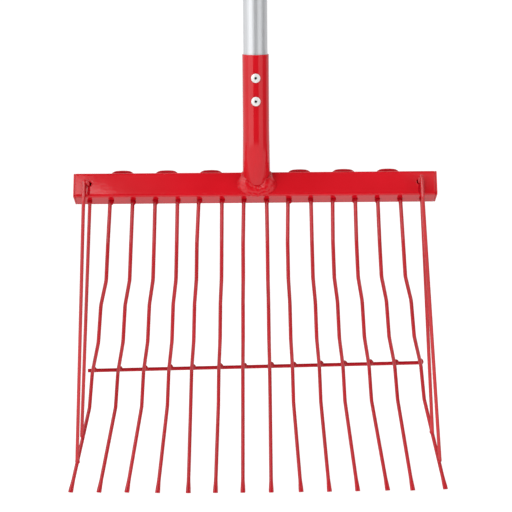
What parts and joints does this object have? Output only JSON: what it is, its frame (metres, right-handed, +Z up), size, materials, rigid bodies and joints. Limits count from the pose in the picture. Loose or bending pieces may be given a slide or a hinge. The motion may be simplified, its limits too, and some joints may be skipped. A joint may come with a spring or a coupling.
{
  "type": "manure fork",
  "caption": "Long handled manure fork: a basket of bent wire tines in a square crossbar with wire side guards, welded to a socket that is riveted on a tube handle.",
  "frame": {"origin": "middle of the footprint, at the level of the lowest tine tips", "axes": "+Z up along the handle, -Y towards the fork's front, the side that the side guards and rivets are on, +X to the right as seen from the front"},
  "size_m": [0.4704, 0.0918, 1.4917],
  "materials": {
    "red_powder_coat": "glossy powder coat",
    "drawn_aluminium": "bright drawn",
    "rivet_aluminium": "bright",
    "mandrel_steel": "dull",
    "grip_plastic": "matte"
  },
  "bodies": {
    "root": {"cross_rod": "red_powder_coat", "crossbar": "red_powder_coat", "crossbar_end_plate_left": "red_powder_coat", "crossbar_end_plate_right": "red_powder_coat", "end_grip": "grip_plastic", "guard_left": "red_powder_coat", "guard_right": "red_powder_coat", "hairpin_1": "red_powder_coat", "hairpin_2": "red_powder_coat", "hairpin_3": "red_powder_coat", "hairpin_4": "red_powder_coat", "hairpin_5": "red_powder_coat", "hairpin_6": "red_powder_coat", "hairpin_7": "red_powder_coat", "handle_tube": "drawn_aluminium", "rivet_lower": "rivet_aluminium", "rivet_mandrel_lower": "mandrel_steel", "rivet_mandrel_upper": "mandrel_steel", "rivet_upper": "rivet_aluminium", "socket_tube": "red_powder_coat", "socket_weld": "red_powder_coat"}
  },
  "joints": []
}
